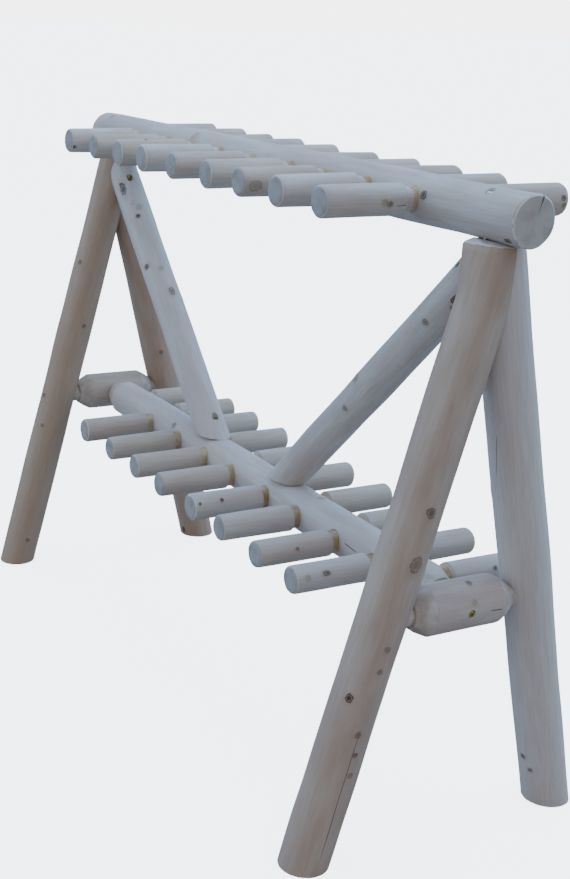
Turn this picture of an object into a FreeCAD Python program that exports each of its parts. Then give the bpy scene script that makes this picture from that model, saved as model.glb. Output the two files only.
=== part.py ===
import FreeCAD, Part
import math
import os

# A ski rack of peeled logs: two A-frames, two long beams and four rows of pegs.
# Sizes are in millimetres. X runs along the beams, Y across them and Z up.
# The origin is on the floor under the middle of the rack, and "near" is the +X end.

# A-frame legs
FRAME_SPACING = 1655.0
FOOT_SPREAD = 617.0
LEG_CROSSING_HEIGHT = 1191.0
LEG_FOOT_DIAMETER = 100.0
LEG_TOP_DIAMETER = 97.0
LEG_SPARE_LENGTH = 160.0
LEG_HEAD_CHAMFER = 6.0

# Top beam, laid on the flat tops of the A-frames
TOP_BEAM_HEIGHT = 1260.0
TOP_BEAM_NEAR_DIAMETER = 94.0
TOP_BEAM_FAR_DIAMETER = 103.0
NEAR_OVERHANG = 80.0
FAR_OVERHANG = 73.0
NEAR_END_CHAMFER = 4.0
FAR_END_CHAMFER = 11.0

# Lower beam, tenoned into the cross rails
LOWER_BEAM_HEIGHT = 509.0
LOWER_BEAM_DIAMETER = 98.0
BEAM_CONE_LENGTH = 50.0
BEAM_CONE_END_DIAMETER = 70.0
BEAM_TENON_DIAMETER = 50.0
BEAM_TENON_DEPTH = 55.0

# Cross rails, tenoned into the legs
RAIL_DIAMETER = 101.0
RAIL_CONE_LENGTH = 36.0
RAIL_CONE_END_DIAMETER = 58.0
RAIL_TENON_DIAMETER = 48.0
RAIL_TENON_DEPTH = 62.0

# Diagonal braces at 45 degrees, from each apex down to the lower beam. The drop is
# from the top beam's axis to the place where a brace's axis meets the A-frame's plane.
BRACE_DIAMETER = 81.0
BRACE_AXIS_DROP = 61.0
BRACE_SLOPE = math.radians(45.0)

# Pegs, shouldered down to tenons in blind holes
PEG_DIAMETER = 61.0
PEG_END_CHAMFER = 6.0
PEG_TENON_DIAMETER = 42.0
PEG_SHOULDER_LENGTH = 9.0
WOOD_BETWEEN_HOLES = 16.0
TOP_PEG_REACH = 248.0
TOP_PEG_STANDOFF = 26.0
TOP_PEG_RISE = 3.0
LOWER_PEG_REACH = 238.0
LOWER_PEG_STANDOFF = 10.0

# Each row of pegs: the gap from either A-frame to its end peg, and how far
# each peg, counted from the near end, was drilled beyond its even place
TOP_LEFT_END_GAPS = (204.0, 249.0)
TOP_LEFT_DRIFT = (0.0, 4.0, 0.0, -9.0, 3.0, 6.0, -10.0, -13.0, 0.0)
TOP_RIGHT_END_GAPS = (135.0, 110.0)
TOP_RIGHT_DRIFT = (0.0, 16.0, 1.0, -13.0, -10.0, 2.0, 1.0, -3.0, -13.0, 0.0)
LOWER_LEFT_END_GAPS = (220.0, 360.0)
LOWER_LEFT_DRIFT = (0.0, -8.0, -2.0, -17.0, -4.0, -15.0, -16.0, 0.0)
LOWER_RIGHT_END_GAPS = (115.0, 154.0)
LOWER_RIGHT_DRIFT = (0.0, -6.0, -7.0, -8.0, 2.0, 5.0, 9.0, 13.0, -1.0, 0.0)

# Flange-head screws in counterbored holes
SCREW_SHANK_DIAMETER = 8.0
SCREW_HEAD_DIAMETER = 16.0
SCREW_HEAD_THICKNESS = 4.0
SCREW_HEAD_TOP_DIAMETER = 9.6
SCREW_FLANGE_THICKNESS = 2.0
SCREW_RECESS_DIAMETER = 7.0
SCREW_RECESS_DEPTH = 2.5
SCREW_POINT_LENGTH = 8.0
SCREW_POINT_DIAMETER = 1.0
SCREW_LENGTH = 100.0
APEX_SCREW_LENGTH = 150.0
COUNTERBORE_DIAMETER = 18.0
COUNTERBORE_DEPTH = 6.0
BRACE_COUNTERBORE_DEPTH = 12.0
CUTTER_OVERRUN = 48.0
APEX_SCREW_INSET = 12.0
APEX_SCREW_SPREAD = 44.0
BRACE_SCREW_INSET = 8.0

# Down from a brace's level top to its upper screw, and up from the lower beam's axis
# to the mouth of its lower one
BRACE_TOP_SCREW_DISTANCE = 61.0
BRACE_FOOT_SCREW_DISTANCE = 98.0

# Flats round each piece, always a multiple of four so that mating pieces line up
LOG_FLAT_COUNT = 32
PEG_FLAT_COUNT = 16
SCREW_FLAT_COUNT = 12

# Clearances
TENON_CLEARANCE = 0.5
TENON_END_GAP = 2.0
SCREW_CLEARANCE = 0.4
SHOULDER_GAP = 2.0
SEAT_CLEARANCE = 0.1

# Derived sizes
HALF_SPACING = FRAME_SPACING / 2
LEG_AXIS_LENGTH = math.hypot(FOOT_SPREAD / 2, LEG_CROSSING_HEIGHT)
LEG_LEAN = math.atan2(FOOT_SPREAD / 2, LEG_CROSSING_HEIGHT)
TOP_BEAM_NEAR_X = HALF_SPACING + NEAR_OVERHANG
TOP_BEAM_FAR_X = -HALF_SPACING - FAR_OVERHANG
BRACE_AXIS_HEIGHT = TOP_BEAM_HEIGHT - BRACE_AXIS_DROP
CUTTER_SIZE = 3 * (FRAME_SPACING + TOP_BEAM_HEIGHT)

ENDS = {"near": 1, "far": -1}
SIDES = {"left": -1, "right": 1}
UP = FreeCAD.Vector(0, 0, 1)
DOWN = FreeCAD.Vector(0, 0, -1)


def block_beyond(point, direction):
    """Return a large block on the far side of the plane through a point."""
    corner = FreeCAD.Vector(-CUTTER_SIZE / 2, -CUTTER_SIZE / 2, 0)
    block = Part.makeBox(CUTTER_SIZE, CUTTER_SIZE, CUTTER_SIZE, corner)
    block.Placement = FreeCAD.Placement(point, FreeCAD.Rotation(UP, direction))
    return block


def outline(corners):
    """Return the flat face inside a ring of corners."""
    return Part.Face(Part.makePolygon(corners + corners[:1]))


def flat_sided(start, direction, sections, flats):
    """Return a solid with equal flats round its axis, from (distance, diameter) sections."""
    turn = FreeCAD.Rotation(UP, direction)
    rings = []
    for distance, diameter in sections:
        ring = []
        for index in range(flats):
            angle = 2 * math.pi * index / flats
            across = FreeCAD.Vector(math.cos(angle), math.sin(angle), 0) * (diameter / 2)
            ring.append(start + turn.multVec(across + UP * distance))
        rings.append(ring)
    faces = [outline(rings[0]), outline(rings[-1])]
    for ring, next_ring in zip(rings, rings[1:]):
        for index in range(flats):
            before = index - 1
            faces.append(outline([ring[before], ring[index], next_ring[index], next_ring[before]]))
    solid = Part.Solid(Part.Shell(faces))
    if solid.Volume < 0:
        solid.reverse()
    return solid


def blind_hole(mouth, direction, depth, diameter, flats):
    """Return the cutter for a hole that starts at its mouth and ends blind."""
    return flat_sided(mouth, direction, ((0.0, diameter), (depth, diameter)), flats)


def top_beam_radius(x):
    """Return the top beam's radius at a place along X."""
    share = (TOP_BEAM_NEAR_X - x) / (TOP_BEAM_NEAR_X - TOP_BEAM_FAR_X)
    diameter = TOP_BEAM_NEAR_DIAMETER + share * (TOP_BEAM_FAR_DIAMETER - TOP_BEAM_NEAR_DIAMETER)
    return diameter / 2


def leg_diameter(height):
    """Return a leg's diameter at a height above the floor."""
    share = height / LEG_CROSSING_HEIGHT
    return LEG_FOOT_DIAMETER + share * (LEG_TOP_DIAMETER - LEG_FOOT_DIAMETER)


def leg_inner_face(height):
    """Return how far a leg's inner side stands from the middle plane."""
    axis = FOOT_SPREAD / 2 * (1 - height / LEG_CROSSING_HEIGHT)
    return axis - leg_diameter(height) / 2 / math.cos(LEG_LEAN)


def seat_height(end):
    """Return the height of an A-frame's flat top, under the top beam."""
    reach = LEG_TOP_DIAMETER / 2
    x = ENDS[end] * HALF_SPACING
    widest = max(top_beam_radius(x - reach), top_beam_radius(x + reach))
    return TOP_BEAM_HEIGHT - widest


def screw(seat, direction, length):
    """Return a flange-head screw whose head rests on the seat point."""
    sections = (
        (length, SCREW_POINT_DIAMETER),
        (length - SCREW_POINT_LENGTH, SCREW_SHANK_DIAMETER),
        (0.0, SCREW_SHANK_DIAMETER),
    )
    shank = flat_sided(seat, direction, sections, SCREW_FLAT_COUNT)
    head_sections = (
        (0.0, SCREW_HEAD_DIAMETER),
        (-SCREW_FLANGE_THICKNESS, SCREW_HEAD_DIAMETER),
        (-SCREW_HEAD_THICKNESS, SCREW_HEAD_TOP_DIAMETER),
    )
    head = flat_sided(seat, direction, head_sections, SCREW_FLAT_COUNT)
    recess_sections = (
        (SCREW_RECESS_DEPTH - SCREW_HEAD_THICKNESS, SCREW_RECESS_DIAMETER),
        (-SCREW_HEAD_THICKNESS - CUTTER_OVERRUN, SCREW_RECESS_DIAMETER),
    )
    recess = flat_sided(seat, direction, recess_sections, SCREW_FLAT_COUNT)
    return head.fuse(shank).cut(recess).removeSplitter()


def screw_holes(seat, direction, length):
    """Return the cutter for a screw: its counterbore and the hole for its shank."""
    sections = (
        (-CUTTER_OVERRUN, COUNTERBORE_DIAMETER),
        (0.0, COUNTERBORE_DIAMETER),
        (0.0, SCREW_SHANK_DIAMETER + SCREW_CLEARANCE),
        (length + TENON_END_GAP, SCREW_SHANK_DIAMETER + SCREW_CLEARANCE),
    )
    return flat_sided(seat, direction, sections, SCREW_FLAT_COUNT)


def apex_screw_seat(end, side):
    """Return where a screw through the top beam into a leg seats its head."""
    x = ENDS[end] * (HALF_SPACING - APEX_SCREW_INSET)
    y = SIDES[side] * APEX_SCREW_SPREAD / 2
    surface = TOP_BEAM_HEIGHT + math.sqrt(top_beam_radius(x) ** 2 - y ** 2)
    return FreeCAD.Vector(x, y, surface - COUNTERBORE_DEPTH)


def rail_screw_seat(end):
    """Return where the screw through a rail into the lower beam seats its head."""
    x = HALF_SPACING + RAIL_DIAMETER / 2 - COUNTERBORE_DEPTH
    return FreeCAD.Vector(ENDS[end] * x, 0, LOWER_BEAM_HEIGHT)


def brace_plumb_x(end):
    """Return the X of a brace's plumb cut, against the inner side of its A-frame."""
    cut_bottom = BRACE_AXIS_HEIGHT - LEG_TOP_DIAMETER / 2 - BRACE_DIAMETER
    return ENDS[end] * (HALF_SPACING - leg_diameter(cut_bottom) / 2 - SEAT_CLEARANCE)


def brace_top_height(end):
    """Return the height of a brace's level cut, under the top beam."""
    beam_x = brace_plumb_x(end) - ENDS[end] * BRACE_DIAMETER
    underside = min(seat_height(end), TOP_BEAM_HEIGHT - top_beam_radius(beam_x))
    return underside - SEAT_CLEARANCE


def brace_surface(end, height):
    """Return the point on the crest of a brace's upper side at a height."""
    inward = (BRACE_AXIS_HEIGHT - height) / math.tan(BRACE_SLOPE)
    inward = inward + BRACE_DIAMETER / 2 / math.sin(BRACE_SLOPE)
    return FreeCAD.Vector(ENDS[end] * (HALF_SPACING - inward), 0, height)


def brace_top_screw_seat(end):
    """Return where the screw from a brace into its apex seats its head."""
    inset = FreeCAD.Vector(ENDS[end] * BRACE_COUNTERBORE_DEPTH, -BRACE_SCREW_INSET, 0)
    return brace_surface(end, brace_top_height(end) - BRACE_TOP_SCREW_DISTANCE) + inset


def brace_foot_screw_seat(end):
    """Return where the screw from a brace into the lower beam seats its head."""
    mouth = brace_surface(end, LOWER_BEAM_HEIGHT + BRACE_FOOT_SCREW_DISTANCE)
    return mouth + DOWN * BRACE_COUNTERBORE_DEPTH


def head_cone(end, side):
    """Return the cone that leaves a chamfer round a leg's flat head."""
    top = seat_height(end)
    y = SIDES[side] * FOOT_SPREAD / 2 * (1 - top / LEG_CROSSING_HEIGHT)
    head = FreeCAD.Vector(ENDS[end] * HALF_SPACING, y, top)
    diameter = leg_diameter(top) - 2 * LEG_HEAD_CHAMFER
    sections = ((0.0, diameter), (TOP_BEAM_HEIGHT, diameter + 2 * TOP_BEAM_HEIGHT))
    return flat_sided(head, DOWN, sections, PEG_FLAT_COUNT)


def make_leg(end, side):
    """Return a leg with a flat foot, a mitred and chamfered head and a rail mortise."""
    x = ENDS[end] * HALF_SPACING
    outward = SIDES[side]
    foot = FreeCAD.Vector(x, outward * FOOT_SPREAD / 2, 0)
    crossing = FreeCAD.Vector(x, 0, LEG_CROSSING_HEIGHT)
    along = (crossing - foot).normalize()
    spare = LEG_SPARE_LENGTH / LEG_AXIS_LENGTH * (LEG_TOP_DIAMETER - LEG_FOOT_DIAMETER)
    sections = (
        (-LEG_SPARE_LENGTH, LEG_FOOT_DIAMETER - spare),
        (LEG_AXIS_LENGTH + LEG_SPARE_LENGTH, LEG_TOP_DIAMETER + spare),
    )
    leg = flat_sided(foot, along, sections, LOG_FLAT_COUNT)
    leg = leg.cut(block_beyond(FreeCAD.Vector(0, 0, 0), DOWN))
    leg = leg.cut(block_beyond(FreeCAD.Vector(0, 0, 0), FreeCAD.Vector(0, -outward, 0)))
    leg = leg.cut(block_beyond(FreeCAD.Vector(0, 0, seat_height(end)), UP))
    leg = leg.common(head_cone(end, side))
    depth = leg_inner_face(LOWER_BEAM_HEIGHT) + RAIL_TENON_DEPTH + TENON_END_GAP
    mouth = FreeCAD.Vector(x, 0, LOWER_BEAM_HEIGHT)
    toward_leg = FreeCAD.Vector(0, outward, 0)
    bore = RAIL_TENON_DIAMETER + TENON_CLEARANCE
    leg = leg.cut(blind_hole(mouth, toward_leg, depth, bore, PEG_FLAT_COUNT))
    leg = leg.cut(screw_holes(apex_screw_seat(end, side), DOWN, APEX_SCREW_LENGTH))
    if side == "left":
        inward = FreeCAD.Vector(ENDS[end], 0, 0)
        leg = leg.cut(screw_holes(brace_top_screw_seat(end), inward, SCREW_LENGTH))
    return leg


def make_rail(end):
    """Return a cross rail with a cone and a tenon at each end."""
    x = ENDS[end] * HALF_SPACING
    cone_end = leg_inner_face(LOWER_BEAM_HEIGHT + RAIL_CONE_END_DIAMETER / 2) - SHOULDER_GAP
    shoulder = cone_end - RAIL_CONE_LENGTH
    tenon_end = leg_inner_face(LOWER_BEAM_HEIGHT) + RAIL_TENON_DEPTH

    middle = FreeCAD.Vector(x, 0, LOWER_BEAM_HEIGHT)
    body_sections = (
        (-cone_end, RAIL_CONE_END_DIAMETER),
        (-shoulder, RAIL_DIAMETER),
        (shoulder, RAIL_DIAMETER),
        (cone_end, RAIL_CONE_END_DIAMETER),
    )
    tenon_sections = ((-tenon_end, RAIL_TENON_DIAMETER), (tenon_end, RAIL_TENON_DIAMETER))
    along = FreeCAD.Vector(0, 1, 0)
    rail = flat_sided(middle, along, body_sections, LOG_FLAT_COUNT)
    rail = rail.fuse(flat_sided(middle, along, tenon_sections, PEG_FLAT_COUNT))
    inward = FreeCAD.Vector(-ENDS[end], 0, 0)
    mouth = middle + inward * RAIL_DIAMETER
    depth = RAIL_DIAMETER / 2 + BEAM_TENON_DEPTH + TENON_END_GAP
    rail = rail.cut(blind_hole(mouth, -inward, depth, BEAM_TENON_DIAMETER + TENON_CLEARANCE, PEG_FLAT_COUNT))
    rail = rail.cut(screw_holes(rail_screw_seat(end), inward, SCREW_LENGTH))
    return rail.removeSplitter()


def make_top_beam():
    """Return the tapered top beam with chamfered ends, peg holes and screw holes."""
    near = FreeCAD.Vector(TOP_BEAM_NEAR_X, 0, TOP_BEAM_HEIGHT)
    length = TOP_BEAM_NEAR_X - TOP_BEAM_FAR_X
    sections = (
        (0.0, TOP_BEAM_NEAR_DIAMETER - 2 * NEAR_END_CHAMFER),
        (NEAR_END_CHAMFER, 2 * top_beam_radius(TOP_BEAM_NEAR_X - NEAR_END_CHAMFER)),
        (length - FAR_END_CHAMFER, 2 * top_beam_radius(TOP_BEAM_FAR_X + FAR_END_CHAMFER)),
        (length, TOP_BEAM_FAR_DIAMETER - 2 * FAR_END_CHAMFER),
    )
    beam = flat_sided(near, FreeCAD.Vector(-1, 0, 0), sections, LOG_FLAT_COUNT)
    beam = beam.cut(peg_holes("top_left")).cut(peg_holes("top_right"))
    for end in ENDS:
        for side in SIDES:
            beam = beam.cut(screw_holes(apex_screw_seat(end, side), DOWN, APEX_SCREW_LENGTH))
    return beam


def make_lower_beam():
    """Return the lower beam with a cone and a tenon at each end."""
    shoulder = HALF_SPACING - RAIL_DIAMETER / 2 - BEAM_CONE_LENGTH - SHOULDER_GAP
    cone_end = shoulder + BEAM_CONE_LENGTH
    tenon_end = HALF_SPACING - RAIL_DIAMETER / 2 + BEAM_TENON_DEPTH

    middle = FreeCAD.Vector(0, 0, LOWER_BEAM_HEIGHT)
    body_sections = (
        (-cone_end, BEAM_CONE_END_DIAMETER),
        (-shoulder, LOWER_BEAM_DIAMETER),
        (shoulder, LOWER_BEAM_DIAMETER),
        (cone_end, BEAM_CONE_END_DIAMETER),
    )
    tenon_sections = ((-tenon_end, BEAM_TENON_DIAMETER), (tenon_end, BEAM_TENON_DIAMETER))
    along = FreeCAD.Vector(1, 0, 0)
    beam = flat_sided(middle, along, body_sections, LOG_FLAT_COUNT)
    beam = beam.fuse(flat_sided(middle, along, tenon_sections, PEG_FLAT_COUNT))
    beam = beam.cut(peg_holes("lower_left")).cut(peg_holes("lower_right"))
    for end in ENDS:
        inward = FreeCAD.Vector(-ENDS[end], 0, 0)
        beam = beam.cut(screw_holes(rail_screw_seat(end), inward, SCREW_LENGTH))
        beam = beam.cut(screw_holes(brace_foot_screw_seat(end), DOWN, SCREW_LENGTH))
    return beam.removeSplitter()


def make_brace(end):
    """Return a brace cut plumb against its apex and level on the lower beam."""
    sign = ENDS[end]
    down_slope = FreeCAD.Vector(-sign * math.cos(BRACE_SLOPE), 0, -math.sin(BRACE_SLOPE))
    start = FreeCAD.Vector(sign * HALF_SPACING, 0, BRACE_AXIS_HEIGHT)
    length = (BRACE_AXIS_HEIGHT - LOWER_BEAM_HEIGHT) / math.sin(BRACE_SLOPE) + BRACE_DIAMETER
    sections = ((-BRACE_DIAMETER, BRACE_DIAMETER), (length, BRACE_DIAMETER))
    brace = flat_sided(start, down_slope, sections, LOG_FLAT_COUNT)
    plumb = FreeCAD.Vector(brace_plumb_x(end), 0, 0)
    brace = brace.cut(block_beyond(plumb, FreeCAD.Vector(sign, 0, 0)))
    brace = brace.cut(block_beyond(FreeCAD.Vector(0, 0, brace_top_height(end)), UP))
    level_z = LOWER_BEAM_HEIGHT + LOWER_BEAM_DIAMETER / 2 + SEAT_CLEARANCE
    brace = brace.cut(block_beyond(FreeCAD.Vector(0, 0, level_z), DOWN))
    brace = brace.cut(screw_holes(brace_top_screw_seat(end), FreeCAD.Vector(sign, 0, 0), SCREW_LENGTH))
    return brace.cut(screw_holes(brace_foot_screw_seat(end), DOWN, SCREW_LENGTH))


def row_stations(end_gaps, drift):
    """Return the X of each peg in a row, counted from the near end."""
    first = HALF_SPACING - end_gaps[0]
    last = -HALF_SPACING + end_gaps[1]
    step = (last - first) / (len(drift) - 1)
    return [first + index * step - extra for index, extra in enumerate(drift)]


ROWS = {
    "top_left": row_stations(TOP_LEFT_END_GAPS, TOP_LEFT_DRIFT),
    "top_right": row_stations(TOP_RIGHT_END_GAPS, TOP_RIGHT_DRIFT),
    "lower_left": row_stations(LOWER_LEFT_END_GAPS, LOWER_LEFT_DRIFT),
    "lower_right": row_stations(LOWER_RIGHT_END_GAPS, LOWER_RIGHT_DRIFT),
}


def row_height(row):
    """Return the height of a row's peg axes."""
    if row.startswith("top"):
        return TOP_BEAM_HEIGHT + TOP_PEG_RISE
    return LOWER_BEAM_HEIGHT


def row_outward(row):
    """Return the direction in which a row's pegs point."""
    return FreeCAD.Vector(0, SIDES[row.split("_")[1]], 0)


def peg_holes(row):
    """Return the cutter for a row's blind holes."""
    outward = row_outward(row)
    depth = PEG_DIAMETER + TOP_BEAM_FAR_DIAMETER
    bore = PEG_TENON_DIAMETER + TENON_CLEARANCE
    holes = []
    for x in ROWS[row]:
        bottom = FreeCAD.Vector(x, 0, row_height(row)) + outward * (WOOD_BETWEEN_HOLES / 2)
        holes.append(blind_hole(bottom, outward, depth, bore, PEG_FLAT_COUNT))
    return Part.makeCompound(holes)


def make_peg(row, x):
    """Return a peg: chamfered outer end, round body, sloping shoulder and tenon."""
    if row.startswith("top"):
        shoulder = max(TOP_BEAM_NEAR_DIAMETER, TOP_BEAM_FAR_DIAMETER) / 2 + TOP_PEG_STANDOFF
        reach = TOP_PEG_REACH
    else:
        shoulder = LOWER_BEAM_DIAMETER / 2 + LOWER_PEG_STANDOFF
        reach = LOWER_PEG_REACH
    sections = (
        (WOOD_BETWEEN_HOLES / 2 + TENON_END_GAP, PEG_TENON_DIAMETER),
        (shoulder - PEG_SHOULDER_LENGTH, PEG_TENON_DIAMETER),
        (shoulder, PEG_DIAMETER),
        (reach - PEG_END_CHAMFER, PEG_DIAMETER),
        (reach, PEG_DIAMETER - 2 * PEG_END_CHAMFER),
    )
    axis = FreeCAD.Vector(x, 0, row_height(row))
    return flat_sided(axis, row_outward(row), sections, PEG_FLAT_COUNT)


def make_parts():
    """Return every piece of the rack by its name."""
    parts = {"top_beam": make_top_beam(), "lower_beam": make_lower_beam()}
    for end, sign in ENDS.items():
        inward = FreeCAD.Vector(-sign, 0, 0)
        for side in SIDES:
            parts[f"leg_{end}_{side}"] = make_leg(end, side)
            seat = apex_screw_seat(end, side)
            parts[f"apex_screw_{end}_{side}"] = screw(seat, DOWN, APEX_SCREW_LENGTH)
        parts[f"rail_{end}"] = make_rail(end)
        parts[f"rail_screw_{end}"] = screw(rail_screw_seat(end), inward, SCREW_LENGTH)
        parts[f"brace_{end}"] = make_brace(end)
        parts[f"brace_top_screw_{end}"] = screw(brace_top_screw_seat(end), -inward, SCREW_LENGTH)
        parts[f"brace_foot_screw_{end}"] = screw(brace_foot_screw_seat(end), DOWN, SCREW_LENGTH)
    for row, stations in ROWS.items():
        for number, x in enumerate(stations, start=1):
            parts[f"peg_{row}_{number}"] = make_peg(row, x)
    return parts


os.makedirs("parts", exist_ok=True)
for name, shape in make_parts().items():
    shape.exportStep(f"parts/{name}.step")
    print(name, len(shape.Solids), shape.isValid(), round(shape.Volume))
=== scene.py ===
"""A log rack dressed for its portrait: peeled logs, turned pegs, knots, drying checks and light."""
import logging
import math
import random
from dataclasses import dataclass
from enum import Enum

import bpy
import numpy as np
from mathutils import Matrix, Vector


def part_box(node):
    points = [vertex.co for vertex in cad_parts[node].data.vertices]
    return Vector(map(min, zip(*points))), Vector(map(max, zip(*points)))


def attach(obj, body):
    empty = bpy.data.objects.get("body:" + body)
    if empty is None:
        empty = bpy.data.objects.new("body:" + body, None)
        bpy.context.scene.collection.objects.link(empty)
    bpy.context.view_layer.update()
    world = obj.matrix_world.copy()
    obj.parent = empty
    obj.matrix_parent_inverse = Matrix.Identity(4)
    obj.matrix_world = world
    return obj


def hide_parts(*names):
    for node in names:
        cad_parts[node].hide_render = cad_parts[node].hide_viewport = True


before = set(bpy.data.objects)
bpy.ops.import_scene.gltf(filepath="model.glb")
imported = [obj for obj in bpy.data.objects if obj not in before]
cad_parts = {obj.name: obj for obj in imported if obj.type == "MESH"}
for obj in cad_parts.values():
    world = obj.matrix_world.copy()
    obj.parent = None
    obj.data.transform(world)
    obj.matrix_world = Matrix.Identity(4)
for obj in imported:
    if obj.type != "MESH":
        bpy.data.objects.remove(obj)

Socket = bpy.types.NodeSocket
Steps = tuple[tuple[float, float], ...]
LOG = logging.getLogger("log_rack")
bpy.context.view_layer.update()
BODY = "root"
NOWHERE = (0.0, 0.0, 60.0)


class End(Enum):
    """The two ends of the rack along X."""

    NEAR = 1
    FAR = -1

    @property
    def word(self) -> str:
        """The end's name as the nodes spell it."""
        return self.name.lower()


class Side(Enum):
    """The two sides of the rack across Y."""

    LEFT = -1
    RIGHT = 1

    @property
    def word(self) -> str:
        """The side's name as the nodes spell it."""
        return self.name.lower()


class Cut(Enum):
    """The surfaces of a log, in the order of its material slots."""

    PEELED = 0
    END_GRAIN = 1
    WHITTLED = 2


@dataclass(frozen=True)
class Knot:
    """A knot, placed by the pixel of the photograph where it shows.

    The radius is in metres across the grain, and stretch lengthens it along the grain.
    """

    pixel: tuple[float, float]
    radius: float
    depth: float = 0.6
    stretch: float = 1.0
    lift: float = 0.0008


@dataclass(frozen=True)
class Swelling:
    """A place where a log grew thicker, given by a pixel on its outline."""

    pixel: tuple[float, float]
    lift: float
    reach: float


@dataclass(frozen=True)
class Check:
    """A drying crack between two pixels of the photograph, with its width in metres."""

    start: tuple[float, float]
    end: tuple[float, float]
    width: float = 0.0012


@dataclass(frozen=True)
class Photographer:
    """The camera's place and lens, solved from the edges of the logs."""

    place: tuple[float, float, float] = (2.6249, -1.5487, 1.5582)
    yaw: float = 63.58239
    pitch: float = -19.64882
    roll: float = 1.93945
    focal_pixels: float = 1291.385
    principal: tuple[float, float] = (158.673, 483.841)
    frame_pixels: tuple[int, int] = (570, 879)
    sensor: float = 36.0

    def axes(self) -> tuple[Vector, Vector, Vector]:
        """Return the camera's right, up and forward directions."""
        yaw = math.radians(self.yaw)
        pitch = math.radians(self.pitch)
        roll = math.radians(self.roll)
        forward = Vector((-math.sin(yaw) * math.cos(pitch), math.cos(yaw) * math.cos(pitch), math.sin(pitch)))
        level = Vector((math.cos(yaw), math.sin(yaw), 0))
        above = level.cross(forward)
        right = math.cos(roll) * level + math.sin(roll) * above
        up = math.cos(roll) * above - math.sin(roll) * level
        return right, up, forward

    def ray(self, pixel: tuple[float, float]) -> Vector:
        """Return the direction in which the camera sees a pixel.

        Args:
            pixel: Its column and row in the photograph.

        Returns:
            A unit vector in the rack's frame.
        """
        right, up, forward = self.axes()
        across = (pixel[0] - self.principal[0]) / self.focal_pixels
        down = (pixel[1] - self.principal[1]) / self.focal_pixels
        return (forward + across * right - down * up).normalized()

    def add_camera(self) -> None:
        """Add the camera and make it the scene's own."""
        right, up, forward = self.axes()
        data = bpy.data.cameras.new("portrait")
        long_side = max(self.frame_pixels)
        data.sensor_width = self.sensor
        data.lens = self.focal_pixels * self.sensor / long_side
        data.shift_x = (self.frame_pixels[0] / 2 - self.principal[0]) / long_side
        data.shift_y = (self.principal[1] - self.frame_pixels[1] / 2) / long_side
        camera = bpy.data.objects.new("portrait", data)
        turn = Matrix((right, up, -forward)).transposed()
        camera.matrix_world = Matrix.Translation(self.place) @ turn.to_4x4()
        bpy.context.scene.collection.objects.link(camera)
        bpy.context.scene.camera = camera


PHOTOGRAPHER = Photographer()


class NodeGraph:
    """A small helper that adds and joins shader nodes in one tree."""

    def __init__(self, tree: bpy.types.NodeTree) -> None:
        """Keep the tree.

        Args:
            tree: The node tree to build in.
        """
        self.tree = tree

    def add(self, kind: str, settings: dict | None = None, **inputs: object) -> bpy.types.Node:
        """Add a node, set its properties and fill or link its inputs.

        Args:
            kind: The node's type name.
            settings: Node properties by name.
            **inputs: Values or output sockets by input name, with spaces as underscores.

        Returns:
            The new node.
        """
        node = self.tree.nodes.new(kind)
        for name, value in (settings or {}).items():
            setattr(node, name, value)
        for name, value in inputs.items():
            self.put(node, name.replace("_", " "), value)
        return node

    def put(self, node: bpy.types.Node, key: str | int, value: object) -> None:
        """Fill one input with a value or link an output socket to it.

        Args:
            node: The node that has the input.
            key: The input's name or number.
            value: A plain value or an output socket.
        """
        if isinstance(value, bpy.types.NodeSocket):
            self.tree.links.new(value, node.inputs[key])
        else:
            node.inputs[key].default_value = value

    def attribute(self, name: str) -> Socket:
        """Return the vector that a mesh attribute holds."""
        return self.add("ShaderNodeAttribute", {"attribute_name": name}).outputs["Vector"]

    def group(self, tree: bpy.types.NodeTree, **inputs: object) -> bpy.types.Node:
        """Return a node that places a shared group."""
        return self.add("ShaderNodeGroup", {"node_tree": tree}, **inputs)

    def math(self, operation: str, first: object, second: object = 0.0) -> Socket:
        """Return the output of a Math node on two values."""
        node = self.add("ShaderNodeMath", {"operation": operation})
        self.put(node, 0, first)
        self.put(node, 1, second)
        return node.outputs[0]

    def times(self, first: object, second: object) -> Socket:
        """Return the product of two values."""
        return self.math("MULTIPLY", first, second)

    def plus(self, first: object, second: object) -> Socket:
        """Return the sum of two values."""
        return self.math("ADD", first, second)

    def minus(self, first: object, second: object) -> Socket:
        """Return the difference of two values."""
        return self.math("SUBTRACT", first, second)

    def split(self, vector: object) -> bpy.types.bpy_prop_collection:
        """Return the three numbers of a vector."""
        return self.add("ShaderNodeSeparateXYZ", Vector=vector).outputs

    def ramp(
        self, value: object, low: float, high: float, to_low: float = 0.0, to_high: float = 1.0
    ) -> Socket:
        """Return a value mapped smoothly from one range to another."""
        node = self.add("ShaderNodeMapRange", {"interpolation_type": "SMOOTHSTEP"})
        for key, entry in enumerate((value, low, high, to_low, to_high)):
            self.put(node, key, entry)
        return node.outputs[0]

    def mix(self, share: object, first: object, second: object) -> Socket:
        """Return the output of a colour mix."""
        node = self.add("ShaderNodeMix", {"data_type": "RGBA", "clamp_factor": True})
        self.put(node, 0, share)
        self.put(node, 6, first)
        self.put(node, 7, second)
        return node.outputs[2]

    def noise(self, place: Socket, scale: float, detail: float = 3.0, stretch: float = 1.0) -> Socket:
        """Return noise on a place, drawn out along the grain by the stretch."""
        squeezed = self.add("ShaderNodeMapping", Vector=place, Scale=(1.0, 1.0, 1.0 / stretch))
        node = self.add("ShaderNodeTexNoise", Vector=squeezed.outputs[0], Scale=scale, Detail=detail)
        return node.outputs["Fac"]


def rgba(colour: tuple[float, float, float]) -> tuple[float, float, float, float]:
    """Return a colour with full alpha."""
    return (*colour, 1.0)


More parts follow.
